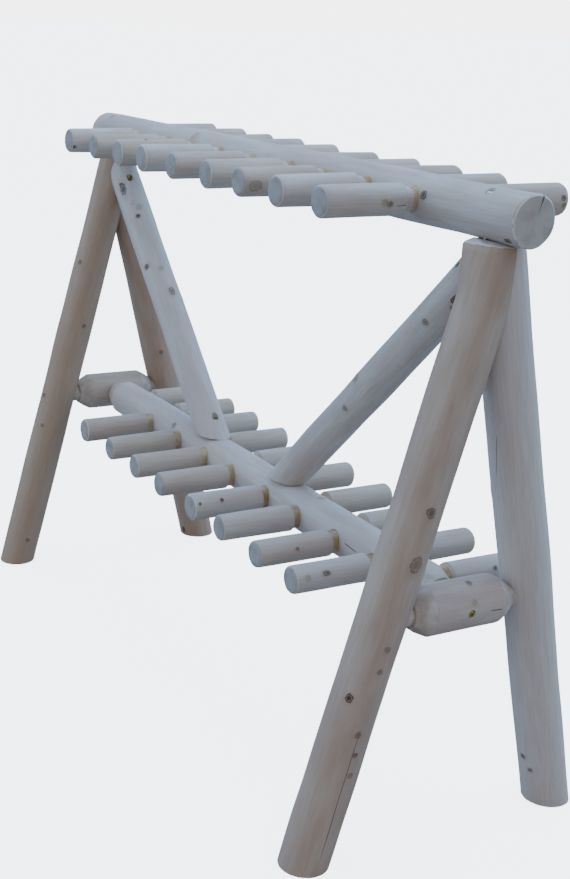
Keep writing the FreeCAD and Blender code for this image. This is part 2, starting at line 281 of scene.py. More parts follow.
def new_finish(name: str) -> tuple[bpy.types.Material, NodeGraph, bpy.types.Node]:
    """Make a material with a plain shader.

    Args:
        name: The material's name.

    Returns:
        The material, a helper that builds in it and its shader.
    """
    made = bpy.data.materials.new(name)
    made.use_nodes = True
    return made, NodeGraph(made.node_tree), made.node_tree.nodes["Principled BSDF"]


def new_group(
    name: str, inputs: dict[str, str], outputs: dict[str, str]
) -> tuple[bpy.types.NodeTree, NodeGraph]:
    """Make an empty shader node group with named sockets.

    Args:
        name: The group's name.
        inputs: Socket types by name.
        outputs: Socket types by name.

    Returns:
        The group and a helper that builds inside it.
    """
    tree = bpy.data.node_groups.new(name, "ShaderNodeTree")
    for socket, kind in inputs.items():
        tree.interface.new_socket(name=socket, in_out="INPUT", socket_type=kind)
    for socket, kind in outputs.items():
        tree.interface.new_socket(name=socket, in_out="OUTPUT", socket_type=kind)
    return tree, NodeGraph(tree)


class SurfaceEffects:
    """The shared effects of wood: grain, knots, checks and growth rings."""

    def __init__(self) -> None:
        """Build each node group once."""
        self.grain = self.build_grain()
        self.knots = self.build_knots()
        self.checks = self.build_checks()
        self.rings = self.build_rings()

    def build_grain(self) -> bpy.types.NodeTree:
        """Build streaks along the log and soft blotches.

        Returns:
            A group that puts out Fine, Broad, Blotch and Speck masks.
        """
        outputs = {name: "NodeSocketFloat" for name in ("Fine", "Broad", "Blotch", "Speck")}
        tree, graph = new_group("wood_grain", {"Place": "NodeSocketVector"}, outputs)
        place = graph.add("NodeGroupInput").outputs["Place"]
        out = graph.add("NodeGroupOutput")
        graph.put(out, "Fine", graph.ramp(graph.noise(place, 210.0, 4.0, 16.0), 0.30, 0.72))
        graph.put(out, "Broad", graph.ramp(graph.noise(place, 34.0, 3.0, 5.0), 0.36, 0.66))
        graph.put(out, "Blotch", graph.ramp(graph.noise(place, 13.0, 4.0, 3.0), 0.40, 0.64))
        graph.put(out, "Speck", graph.ramp(graph.noise(place, 130.0, 2.0, 2.0), 0.68, 0.82))
        return tree

    def build_knots(self) -> bpy.types.NodeTree:
        """Build knots from their offsets in radii.

        Returns:
            A group that puts out Core, Ring, Halo and Height.
        """
        inputs = {"Offset": "NodeSocketVector", "Place": "NodeSocketVector"}
        outputs = {name: "NodeSocketFloat" for name in ("Core", "Ring", "Halo", "Height")}
        tree, graph = new_group("wood_knots", inputs, outputs)
        given = graph.add("NodeGroupInput")
        out = graph.add("NodeGroupOutput")
        length = graph.add("ShaderNodeVectorMath", {"operation": "LENGTH"})
        graph.put(length, 0, given.outputs["Offset"])
        ragged = graph.minus(graph.noise(given.outputs["Place"], 150.0, 2.0), 0.5)
        radius = graph.plus(length.outputs["Value"], graph.times(ragged, 0.7))
        core = graph.ramp(radius, 0.35, 0.75, 1.0, 0.0)
        outer = graph.ramp(radius, 0.85, 1.1, 1.0, 0.0)
        inner = graph.ramp(radius, 0.5, 0.8, 0.0, 1.0)
        graph.put(out, "Core", core)
        graph.put(out, "Ring", graph.times(outer, inner))
        graph.put(out, "Halo", graph.ramp(radius, 0.9, 2.3, 1.0, 0.0))
        graph.put(out, "Height", graph.minus(graph.ramp(radius, 0.7, 1.4, 1.0, 0.0), core))
        return tree

    def build_checks(self) -> bpy.types.NodeTree:
        """Build thin drying cracks from their offsets.

        Returns:
            A group that puts out the crack's Mask.
        """
        inputs = {"Offset": "NodeSocketVector", "Place": "NodeSocketVector"}
        tree, graph = new_group("drying_checks", inputs, {"Mask": "NodeSocketFloat"})
        given = graph.add("NodeGroupInput")
        out = graph.add("NodeGroupOutput")
        parts = graph.split(given.outputs["Offset"])
        wander = graph.minus(graph.noise(given.outputs["Place"], 60.0, 3.0, 4.0), 0.5)
        across = graph.math("ABSOLUTE", graph.plus(parts[0], graph.times(wander, 3.0)))
        taper = graph.ramp(graph.math("ABSOLUTE", parts[1]), 0.55, 1.0)
        distance = graph.plus(graph.plus(across, taper), parts[2])
        graph.put(out, "Mask", graph.ramp(distance, 0.45, 1.0, 1.0, 0.0))
        return tree

    def build_rings(self) -> bpy.types.NodeTree:
        """Build growth rings and radial cracks across a cut end.

        Returns:
            A group that puts out Ring, Crack and Edge masks.
        """
        inputs = {"Place": "NodeSocketVector", "Girth": "NodeSocketFloat", "Turn": "NodeSocketFloat"}
        outputs = {name: "NodeSocketFloat" for name in ("Ring", "Crack", "Edge")}
        tree, graph = new_group("growth_rings", inputs, outputs)
        given = graph.add("NodeGroupInput")
        out = graph.add("NodeGroupOutput")
        parts = graph.split(given.outputs["Place"])
        squares = [graph.times(part, part) for part in parts[:2]]
        radius = graph.math("SQRT", graph.plus(squares[0], squares[1]))
        uneven = graph.times(graph.noise(given.outputs["Place"], 55.0, 2.0), 0.010)
        wave = graph.math("SINE", graph.times(graph.plus(radius, uneven), 1700.0))
        graph.put(out, "Ring", graph.ramp(wave, -0.6, 0.95))
        angle = graph.math("ARCTAN2", parts[1], parts[0])
        turned = graph.minus(angle, graph.times(given.outputs["Turn"], math.tau))
        offset = graph.times(graph.math("SINE", graph.times(turned, 0.5)), 2.0)
        sideways = graph.math("ABSOLUTE", graph.times(offset, radius))
        share = graph.math("DIVIDE", radius, given.outputs["Girth"])
        open_end = graph.ramp(share, 0.30, 0.85, 0.0, 0.0011)
        gap = graph.minus(sideways, open_end)
        crack = graph.ramp(gap, 0.0, 0.0005, 1.0, 0.0)
        graph.put(out, "Crack", graph.times(crack, graph.ramp(share, 0.28, 0.34)))
        graph.put(out, "Edge", graph.ramp(share, 0.86, 0.97))
        return tree


@dataclass(frozen=True)
class PeeledWood:
    """The outside of a peeled log: pale sapwood with streaks, knots and fine checks."""

    name: str
    pale: tuple[float, float, float]
    tan: tuple[float, float, float]
    blush: tuple[float, float, float]
    light_grey_tone: tuple[float, float, float] = (0.76, 0.73, 0.70)
    knot: tuple[float, float, float] = (0.115, 0.068, 0.040)
    dark: tuple[float, float, float] = (0.022, 0.014, 0.010)
    roughness: float = 0.58

    def material(self, effects: SurfaceEffects) -> bpy.types.Material:
        """Build the finish as a node material.

        Args:
            effects: The shared node groups.

        Returns:
            The new material.
        """
        made, graph, shader = new_finish(self.name)
        place = graph.attribute("log_place")
        check_place = graph.attribute("check_place")
        tone, *depths = graph.split(graph.attribute("log_traits"))
        grain = graph.group(effects.grain, Place=place)
        checks = graph.group(effects.checks, Offset=check_place, Place=place)
        base = rgba(self.pale)
        # Per-log tone: a positive tone mixes the wood towards tan, a negative tone towards a light grey.
        for mask, strength, colour in (
            (grain.outputs["Broad"], 0.42, self.tan),
            (grain.outputs["Blotch"], 0.70, self.blush),
            (graph.math("MAXIMUM", tone, 0.0), 0.8, self.tan),
            (graph.math("MINIMUM", tone, 0.0), -0.8, self.light_grey_tone),
            (grain.outputs["Fine"], 0.11, self.knot),
            (grain.outputs["Speck"], 0.16, self.knot),
        ):
            base = graph.mix(graph.times(mask, strength), base, rgba(colour))
        height = graph.times(grain.outputs["Fine"], 0.35)
        height = graph.plus(height, graph.times(grain.outputs["Broad"], 0.9))
        for layer, depth in zip(("knot_place", "second_knot_place"), depths):
            offset = graph.attribute(layer)
            knots = graph.group(effects.knots, Offset=offset, Place=place)
            for mask, strength, colour in (
                ("Halo", 0.45, self.tan),
                ("Ring", graph.plus(depth, 0.1), self.knot),
                ("Core", depth, self.dark),
            ):
                base = graph.mix(graph.times(knots.outputs[mask], strength), base, rgba(colour))
            height = graph.plus(height, knots.outputs["Height"])
        base = graph.mix(graph.times(checks.outputs["Mask"], 0.8), base, rgba(self.dark))
        graph.put(shader, "Base Color", base)
        rough = graph.ramp(grain.outputs["Broad"], 0.0, 1.0, self.roughness - 0.08, self.roughness + 0.10)
        graph.put(shader, "Roughness", rough)
        shader.inputs["Specular IOR Level"].default_value = 0.35
        height = graph.minus(height, graph.times(checks.outputs["Mask"], 3.0))
        bump = graph.add("ShaderNodeBump", Strength=0.55, Distance=0.0008, Height=height)
        graph.put(shader, "Normal", bump.outputs[0])
        return made


@dataclass(frozen=True)
class EndGrain:
    """A sawn end with growth rings, a pale rim and at most one radial crack.

    The crack's direction is a share of a turn.
    """

    name: str
    light: tuple[float, float, float]
    shade: tuple[float, float, float]
    rim: tuple[float, float, float]
    girth: float
    crack_turn: float | None = None

    def material(self, effects: SurfaceEffects) -> bpy.types.Material:
        """Build the finish as a node material.

        Args:
            effects: The shared node groups.

        Returns:
            The new material.
        """
        made, graph, shader = new_finish(self.name)
        place = graph.attribute("log_place")
        rings = graph.group(effects.rings, Place=place)
        graph.put(rings, "Girth", self.girth)
        worn = graph.noise(place, 38.0, 4.0)
        base = graph.mix(graph.times(rings.outputs["Ring"], 0.22), rgba(self.light), rgba(self.shade))
        base = graph.mix(graph.ramp(worn, 0.42, 0.66, 0.0, 0.6), base, rgba(self.shade))
        base = graph.mix(graph.times(rings.outputs["Edge"], 0.85), base, rgba(self.rim))
        height = graph.times(rings.outputs["Ring"], 0.4)
        if self.crack_turn is not None:
            graph.put(rings, "Turn", self.crack_turn)
            base = graph.mix(graph.times(rings.outputs["Crack"], 0.85), base, (0.03, 0.022, 0.018, 1.0))
            height = graph.minus(height, graph.times(rings.outputs["Crack"], 3.0))
        graph.put(shader, "Base Color", base)
        graph.put(shader, "Roughness", graph.ramp(worn, 0.3, 0.7, 0.70, 0.88))
        shader.inputs["Specular IOR Level"].default_value = 0.25
        height = graph.plus(height, graph.noise(place, 420.0, 3.0))
        bump = graph.add("ShaderNodeBump", Strength=0.5, Distance=0.0006, Height=height)
        graph.put(shader, "Normal", bump.outputs[0])
        return made


@dataclass(frozen=True)
class WhittledWood:
    """The brown cone and tenon that a cutter leaves at a log's end."""

    name: str
    light: tuple[float, float, float]
    shade: tuple[float, float, float]

    def material(self, effects: SurfaceEffects) -> bpy.types.Material:
        """Build the finish as a node material.

        Args:
            effects: The shared node groups.

        Returns:
            The new material.
        """
        made, graph, shader = new_finish(self.name)
        place = graph.attribute("log_place")
        grain = graph.group(effects.grain, Place=place)
        scorched = graph.noise(place, 34.0, 4.0)
        base = graph.mix(graph.ramp(scorched, 0.36, 0.66), rgba(self.light), rgba(self.shade))
        base = graph.mix(graph.times(grain.outputs["Fine"], 0.35), base, rgba(self.shade))
        graph.put(shader, "Base Color", base)
        graph.put(shader, "Roughness", graph.ramp(scorched, 0.3, 0.7, 0.66, 0.84))
        shader.inputs["Specular IOR Level"].default_value = 0.25
        height = graph.noise(place, 260.0, 3.0, 2.0)
        bump = graph.add("ShaderNodeBump", Strength=0.6, Distance=0.001, Height=height)
        graph.put(shader, "Normal", bump.outputs[0])
        return made


@dataclass(frozen=True)
class PlatedSteel:
    """Yellow zinc plating with a mottled sheen."""

    name: str = "yellow_zinc"
    bright: tuple[float, float, float] = (0.62, 0.50, 0.17)
    dull: tuple[float, float, float] = (0.30, 0.25, 0.10)

    def material(self) -> bpy.types.Material:
        """Build the finish as a node material.

        Returns:
            The new material.
        """
        made, graph, shader = new_finish(self.name)
        place = graph.add("ShaderNodeTexCoord").outputs["Object"]
        mottle = graph.noise(place, 260.0, 3.0)
        base = graph.mix(graph.ramp(mottle, 0.35, 0.65), rgba(self.bright), rgba(self.dull))
        graph.put(shader, "Base Color", base)
        graph.put(shader, "Roughness", graph.ramp(mottle, 0.3, 0.7, 0.32, 0.50))
        shader.inputs["Metallic"].default_value = 1.0
        return made


class Finishes:
    """Every material of the rack, built once."""

    def __init__(self) -> None:
        """Build the node groups and the materials."""
        effects = SurfaceEffects()
        colours = {
            "leg": ((0.57, 0.47, 0.38), (0.43, 0.30, 0.20), (0.46, 0.32, 0.25)),
            "beam": ((0.60, 0.55, 0.50), (0.48, 0.38, 0.29), (0.52, 0.42, 0.38)),
            "brace": ((0.60, 0.56, 0.51), (0.47, 0.37, 0.28), (0.50, 0.40, 0.36)),
            "rail": ((0.61, 0.53, 0.46), (0.48, 0.36, 0.26), (0.52, 0.39, 0.33)),
            "peg": ((0.60, 0.55, 0.49), (0.49, 0.37, 0.26), (0.53, 0.41, 0.36)),
        }
        self.peeled = {
            log: PeeledWood(f"peeled_{log}", *shades).material(effects) for log, shades in colours.items()
        }
        sawn = ((0.50, 0.47, 0.42), (0.40, 0.33, 0.28))
        peg_face = ((0.42, 0.40, 0.38), (0.30, 0.26, 0.22))
        rim = (0.80, 0.76, 0.68)
        log_end = EndGrain("sawn_log_end", *sawn, rim, 0.0475).material(effects)
        beam_end = EndGrain("sawn_beam_end", *sawn, rim, 0.0475, 0.30).material(effects)
        peg_end = EndGrain("sawn_peg_end", *peg_face, rim, 0.0305).material(effects)
        neck = WhittledWood("whittled_neck", (0.60, 0.47, 0.30), (0.40, 0.27, 0.14)).material(effects)
        cone = WhittledWood("whittled_cone", (0.62, 0.56, 0.49), (0.47, 0.38, 0.30)).material(effects)
        self.ends = {"beam": (beam_end, cone), "peg": (peg_end, neck)}
        self.log_ends = (log_end, cone)
        self.zinc = PlatedSteel().material()
        self.galvanised = PlatedSteel("galvanised", (0.60, 0.61, 0.62), (0.34, 0.35, 0.36)).material()

    def of(self, log: str) -> tuple[bpy.types.Material, ...]:
        """Return a kind of log's peeled, end grain and whittled finishes."""
        return (self.peeled[log], *self.ends.get(log, self.log_ends))


def only(thing: bpy.types.Object) -> None:
    """Select one object alone and make it active."""
    bpy.ops.object.select_all(action="DESELECT")
    thing.select_set(True)
    bpy.context.view_layer.objects.active = thing


def pick(thing: bpy.types.Object, domain: str, chosen: np.ndarray) -> None:
    """Select some vertices, edges or faces of a mesh while in object mode.

    Args:
        thing: The mesh object.
        domain: VERT, EDGE or FACE.
        chosen: A mask with one entry for each element.
    """
    bpy.ops.object.mode_set(mode="EDIT")
    bpy.ops.mesh.select_mode(type=domain)
    bpy.ops.object.mode_set(mode="OBJECT")
    mesh = thing.data
    for part, name in ((mesh.vertices, "VERT"), (mesh.edges, "EDGE"), (mesh.polygons, "FACE")):
        part.foreach_set("select", chosen if name == domain else np.zeros(len(part), bool))


def corners(thing: bpy.types.Object) -> np.ndarray:
    """Return the places of a mesh's vertices, one row each."""
    values = np.zeros(len(thing.data.vertices) * 3)
    thing.data.vertices.foreach_get("co", values)
    return values.reshape(-1, 3)


@dataclass
class Trunk:
    """A straight log between two points, with turned ends.

    Each step of start_steps and end_steps is a distance further out and the radius there.
    """

    name: str
    start: Vector
    end: Vector
    start_radius: float
    end_radius: float
    start_steps: Steps = ()
    end_steps: Steps = ()
    sides: int = 88
    ring_length: float = 0.007
    swell: float = 0.0022
    facets: float = 0.0011
    tone: float = 0.0
    seed: int = 1
    knots: tuple[Knot, ...] = ()
    checks: tuple[Check, ...] = ()
    swellings: tuple[Swelling, ...] = ()
    hidden_knots: int = 0

    @property
    def length(self) -> float:
        """The length between the two points."""
        return (self.end - self.start).length

    def placement(self) -> Matrix:
        """Return the matrix from the log's own frame, with Z along it, to the rack's."""
        turn = (self.end - self.start).to_track_quat("Z", "Y")
        return Matrix.Translation(self.start) @ turn.to_matrix().to_4x4()

    def radius_at(self, along: float) -> float:
        """Return the log's radius at a distance from its start."""
        share = min(max(along / self.length, 0.0), 1.0)
        return self.start_radius + share * (self.end_radius - self.start_radius)

    def blank(self) -> bpy.types.Object:
        """Turn the plain log: a tapered cylinder, rings along it and shaped ends.

        Returns:
            The log in its own frame.
        """
        bpy.ops.object.select_all(action="DESELECT")
        bpy.ops.mesh.primitive_cylinder_add(
            vertices=self.sides, radius=self.start_radius, depth=self.length, location=(0, 0, self.length / 2)
        )
        log = bpy.context.active_object
        log.name = self.name
        bpy.ops.object.transform_apply(location=True, rotation=True, scale=True)
        far_end = corners(log)[:, 2] > self.length / 2
        pick(log, "VERT", far_end)
        bpy.ops.object.mode_set(mode="EDIT")
        taper = self.end_radius / self.start_radius
        bpy.ops.transform.resize(value=(taper, taper, 1.0))
        bpy.ops.object.mode_set(mode="OBJECT")
        self.divide(log)
        self.turn_end(log, self.end_steps, self.end_radius, 1.0)
        self.turn_end(log, self.start_steps, self.start_radius, -1.0)
        return log

    def divide(self, log: bpy.types.Object) -> None:
        """Cut rings along the log.

        Args:
            log: The plain tapered cylinder.
        """
        wanted = max(2, round(self.length / self.ring_length))
        first = math.ceil(wanted / 60)
        for pieces in (first, math.ceil(wanted / first)):
            if pieces < 2:
                continue
            places = corners(log)
            ends = np.array([edge.vertices[:] for edge in log.data.edges])
            lift = np.abs(places[ends[:, 0], 2] - places[ends[:, 1], 2])
            pick(log, "EDGE", lift > self.ring_length * 0.5)
            bpy.ops.object.mode_set(mode="EDIT")
            bpy.ops.mesh.subdivide(number_cuts=pieces - 1)
            bpy.ops.object.mode_set(mode="OBJECT")

    def turn_end(self, log: bpy.types.Object, steps: Steps, radius: float, way: float) -> None:
        """Draw an end face outwards in steps, each with its own radius.

        Args:
            log: The log in its own frame.
            steps: Distances further out and the radius there.
            radius: The radius that the end has now.
            way: 1 at the log's end and -1 at its start.
        """
        normals = np.array([face.normal[2] for face in log.data.polygons])
        heights = np.array([face.center[2] for face in log.data.polygons])
        edge = heights.max() if way > 0 else heights.min()
        pick(log, "FACE", (normals * way > 0.9) & (np.abs(heights - edge) < 1e-4))
        bpy.ops.object.mode_set(mode="EDIT")
        for distance, new_radius in steps:
            bpy.ops.mesh.extrude_region_move(TRANSFORM_OT_translate={"value": (0, 0, way * distance)})
            ratio = new_radius / radius
            bpy.ops.transform.resize(value=(ratio, ratio, 1.0))
            radius = new_radius
        bpy.ops.mesh.inset(thickness=radius * 0.45)
        bpy.ops.object.mode_set(mode="OBJECT")

    def peel(self, log: bpy.types.Object) -> None:
        """Give the log its slow swellings and the long facets of a drawknife.

        Args:
            log: The turned log in its own frame.
        """
        swells = ("swell", self.swell, 0.09, 2.5)
        facets = ("facet", self.facets, 0.022, 14.0)
        for label, depth, size, stretch in (swells, facets):
            guide = bpy.data.objects.new("guide", None)
            guide.scale = (1.0, 1.0, stretch)
            guide.location = (self.seed * 1.37, self.seed * 0.71, self.seed * 0.53)
            bpy.context.scene.collection.objects.link(guide)
            bpy.context.view_layer.update()
            texture = bpy.data.textures.new(label, "CLOUDS")
            texture.noise_scale = size
            texture.noise_depth = 1
            only(log)
            bpy.ops.object.modifier_add(type="DISPLACE")
            modifier = log.modifiers[-1]
            modifier.texture = texture
            modifier.texture_coords = "OBJECT"
            modifier.texture_coords_object = guide
            modifier.strength = depth * 2
            modifier.mid_level = 0.5
            bpy.ops.object.modifier_apply(modifier=modifier.name)
            bpy.data.objects.remove(guide)

    def place(self, log: bpy.types.Object) -> None:
        """Lay the log where it belongs, with its place in its mesh."""
        log.matrix_world = self.placement()
        only(log)
        bpy.ops.object.transform_apply(location=True, rotation=True, scale=True)

    def spot(self, pixel: tuple[float, float]) -> tuple[float, float]:
        """Find where a pixel's ray meets the log.

        Args:
            pixel: Its column and row in the photograph.

        Returns:
            The distance along the log and the angle round it.
        """
        back = self.placement().inverted()
        eye = back @ Vector(PHOTOGRAPHER.place)
        ray = back.to_3x3() @ PHOTOGRAPHER.ray(pixel)
        flat = ray.xy.length_squared
        half = eye.xy.dot(ray.xy)
        nearest = eye + ray * (-half / flat)
        inside = self.radius_at(nearest.z) ** 2 - nearest.xy.length_squared
        hit = nearest - ray * math.sqrt(max(inside, 0.0) / flat)
        return hit.z, math.atan2(hit.y, hit.x)

    def lift_wood(self, log: bpy.types.Object, along: float, angle: float, lift: float, reach: float) -> None:
        """Pull the wood outwards round one point, fading out with the distance.

        Args:
            log: The log in its own frame.
            along: The point's distance along the log.
            angle: The point's angle round the log.
            lift: How far the point moves.
            reach: How far the movement fades out.
        """
        places = corners(log)
        radius = self.radius_at(along)
        target = np.array((radius * math.cos(angle), radius * math.sin(angle), along))
        nearest = np.argmin(((places - target) ** 2).sum(axis=1))
        pick(log, "VERT", np.arange(len(places)) == nearest)
        bpy.ops.object.mode_set(mode="EDIT")
        bpy.ops.transform.translate(
            value=(lift * math.cos(angle), lift * math.sin(angle), 0.0),
            use_proportional_edit=True,
            proportional_edit_falloff="SMOOTH",
            proportional_size=reach,
        )
        bpy.ops.object.mode_set(mode="OBJECT")

    def raise_knots(self, log: bpy.types.Object, spots: list[tuple[float, float, Knot]]) -> None:
        """Lift the wood round each knot and swelling, or sink it where the lift is negative.

        Args:
            log: The peeled log in its own frame.
            spots: Each knot with its distance along the log and its angle round it.
        """
        for swelling in self.swellings:
            self.lift_wood(log, *self.spot(swelling.pixel), swelling.lift, swelling.reach)
        for along, angle, knot in spots:
            if knot.lift != 0:
                self.lift_wood(log, along, angle, knot.lift, knot.radius * 2.6)

    def knot_spots(self) -> list[tuple[float, float, Knot]]:
        """Return every knot with its place, those seen in the photograph first."""
        spots = [(*self.spot(knot.pixel), knot) for knot in self.knots]
        dice = random.Random(self.seed * 7 + 3)
        facing = self.placement().inverted() @ Vector(PHOTOGRAPHER.place)
        away = math.atan2(facing.y, facing.x) + math.pi
        for _ in range(self.hidden_knots):
            along = dice.uniform(0.08, 0.92) * self.length
            angle = away + dice.uniform(-1.25, 1.25)
            girth, depth, stretch = dice.uniform(0.005, 0.010), dice.uniform(0.3, 0.9), dice.uniform(1.0, 1.4)
            spots.append((along, angle, Knot((0.0, 0.0), girth, depth, stretch)))
        return spots

    def knot_layers(self, spots: list[tuple[float, float, Knot]]) -> tuple[list, list]:
        """Share the knots between two layers, so that neighbours never lie in the same one.

        Args:
            spots: Each knot with its distance along the log and its angle round it.

        Returns:
            The two layers.
        """
        layers = ([], [])
        for spot in spots:
            gaps = [min((abs(spot[0] - other[0]) for other in layer), default=math.inf) for layer in layers]
            layers[0 if gaps[0] >= gaps[1] else 1].append(spot)
        return layers

    def mark(self, log: bpy.types.Object, spots: list[tuple[float, float, Knot]]) -> None:
        """Write where each point lies on the log, for the materials to read.

        Args:
            log: The finished log in the rack's frame.
            spots: Each knot with its distance along the log and its angle round it.
        """
        back = np.array(self.placement().inverted())
        local = corners(log) @ back[:3, :3].T + back[:3, 3]
        count = len(local)
        angle = np.arctan2(local[:, 1], local[:, 0])
        girth = np.hypot(local[:, 0], local[:, 1])
        traits = np.zeros((count, 3))
        traits[:, 0] = self.tone
        layers = []
        for number, layer in enumerate(self.knot_layers(spots)):
            knot_place = np.full((count, 3), NOWHERE)
            closest = np.full(count, np.inf)
            for along, around, knot in layer:
                turn = (angle - around + math.pi) % math.tau - math.pi
                across = turn * girth / knot.radius
                beside = (local[:, 2] - along) / (knot.radius * knot.stretch)
                distance = np.hypot(across, beside) * knot.radius
                near = (distance < max(3.0 * knot.radius, 0.024)) & (distance < closest)
                closest[near] = distance[near]
                knot_place[near] = np.column_stack((across[near], beside[near], np.zeros(near.sum())))
                traits[near, number + 1] = knot.depth
            layers.append(knot_place)
        check_place = np.full((count, 3), NOWHERE)
        for check in self.checks:
            first, last = (np.array(self.spot(pixel)) for pixel in (check.start, check.end))
            span = last[0] - first[0]
            share = (local[:, 2] - first[0]) / span
            bend = (last[1] - first[1] + math.pi) % math.tau - math.pi
            turn = (angle - first[1] - share * bend + math.pi) % math.tau - math.pi
            across = turn * girth
            near = (np.abs(across) < 0.018) & (np.abs(share - 0.5) < 0.5 + 0.03 / abs(span))
            rows = np.column_stack((across / check.width, (share - 0.5) * 2.0, np.zeros(count)))
            check_place[near] = rows[near]
        local[:, 2] += self.seed * 3.7
        for label, values in (
            ("log_place", local), ("knot_place", layers[0]), ("second_knot_place", layers[1]),
            ("check_place", check_place), ("log_traits", traits)
        ):
            attribute = log.data.attributes.new(label, "FLOAT_VECTOR", "POINT")
            attribute.data.foreach_set("vector", values.astype(np.float32).ravel())

    def build(self) -> tuple[bpy.types.Object, list[tuple[float, float, Knot]]]:
        """Turn, peel and place the log.

        Returns:
            The log in the rack's frame and its knots with their places.
        """
        log = self.blank()
        self.peel(log)
        spots = self.knot_spots()
        self.raise_knots(log, spots)
        self.place(log)
        return log, spots


def saw(log: bpy.types.Object, point: Vector, outward: Vector) -> None:
    """Saw a log through a plane and close the cut.

    Args:
        log: The log in the rack's frame.
        point: A point on the plane.
        outward: The direction of the waste.
    """
    only(log)
    bpy.ops.object.mode_set(mode="EDIT")
    bpy.ops.mesh.select_all(action="SELECT")
    bpy.ops.mesh.bisect(plane_co=point, plane_no=outward, use_fill=True, clear_outer=True)
    bpy.ops.object.mode_set(mode="OBJECT")


@dataclass(frozen=True)
class Bore:
    """A round hole from its mouth to its bottom, in metres."""

    mouth: Vector
    bottom: Vector
    radius: float
    sides: int = 32


def drill(log: bpy.types.Object, bores: list[Bore]) -> None:
    """Drill holes in a log with one cutter.

    Args:
        log: The log in the rack's frame.
        bores: The holes, none of which touch each other.
    """
    cutters = []
    for bore in bores:
        along = bore.bottom - bore.mouth
        bpy.ops.object.select_all(action="DESELECT")
        bpy.ops.mesh.primitive_cylinder_add(
            vertices=bore.sides,
            radius=bore.radius,
            depth=along.length,
            location=(bore.mouth + bore.bottom) / 2,
            rotation=along.to_track_quat("Z", "Y").to_euler(),
        )
        cutters.append(bpy.context.active_object)
    bpy.ops.object.select_all(action="DESELECT")
    for cutter in cutters:
        cutter.select_set(True)
    bpy.context.view_layer.objects.active = cutters[0]
    if len(cutters) > 1:
        bpy.ops.object.join()
    cutter = cutters[0]
    only(log)
    bpy.ops.object.modifier_add(type="BOOLEAN")
    modifier = log.modifiers[-1]
    modifier.object = cutter
    modifier.operation = "DIFFERENCE"
    modifier.solver = "EXACT"
    bpy.ops.object.modifier_apply(modifier=modifier.name)
    bpy.data.objects.remove(cutter)


def dress(
    log: bpy.types.Object,
    node: str,
    materials: tuple[bpy.types.Material, ...],
    cuts: np.ndarray,
) -> None:
    """Give a finished log its materials and put it in its node's place.

    Args:
        log: The finished log in the rack's frame.
        node: The CAD node that the log stands for.
        materials: The peeled, end grain and whittled finishes.
        cuts: The slot number of each face.
    """
    log.data.materials.clear()
    for material in materials:
        log.data.materials.append(material)
    log.data.polygons.foreach_set("material_index", cuts.astype(np.int32))
    only(log)
    bpy.ops.object.shade_smooth_by_angle(angle=math.radians(32))
    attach(log, BODY)
    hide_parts(node)
    LOG.info("%s: %d faces", log.name, len(log.data.polygons))


def face_cuts(log: bpy.types.Object, trunk: Trunk, whittled: Steps = ()) -> np.ndarray:
    """Sort a log's faces into peeled sides, end grain and whittled stretches.

    Args:
        log: The finished log in the rack's frame.
        trunk: The log's own description.
        whittled: Stretches along the log, from and to, that a cutter shaped.

    Returns:
        The slot number of each face.
    """
    back = np.array(trunk.placement().inverted())
    count = len(log.data.polygons)
    normals = np.zeros(count * 3)
    log.data.polygons.foreach_get("normal", normals)
    centres = np.array([face.center[:] for face in log.data.polygons])
    normals = normals.reshape(-1, 3) @ back[:3, :3].T
    centres = centres @ back[:3, :3].T + back[:3, 3]
    radial = np.hypot(centres[:, 0], centres[:, 1])
    outward = (normals[:, 0] * centres[:, 0] + normals[:, 1] * centres[:, 1]) / np.maximum(radial, 1e-6)
    sawn = (outward < 0.80) | (np.abs(normals[:, 2]) > 0.9)
    cuts = np.where(sawn, Cut.END_GRAIN.value, Cut.PEELED.value)
    for low, high in whittled:
        cuts[(centres[:, 2] > low) & (centres[:, 2] < high)] = Cut.WHITTLED.value
    return cuts


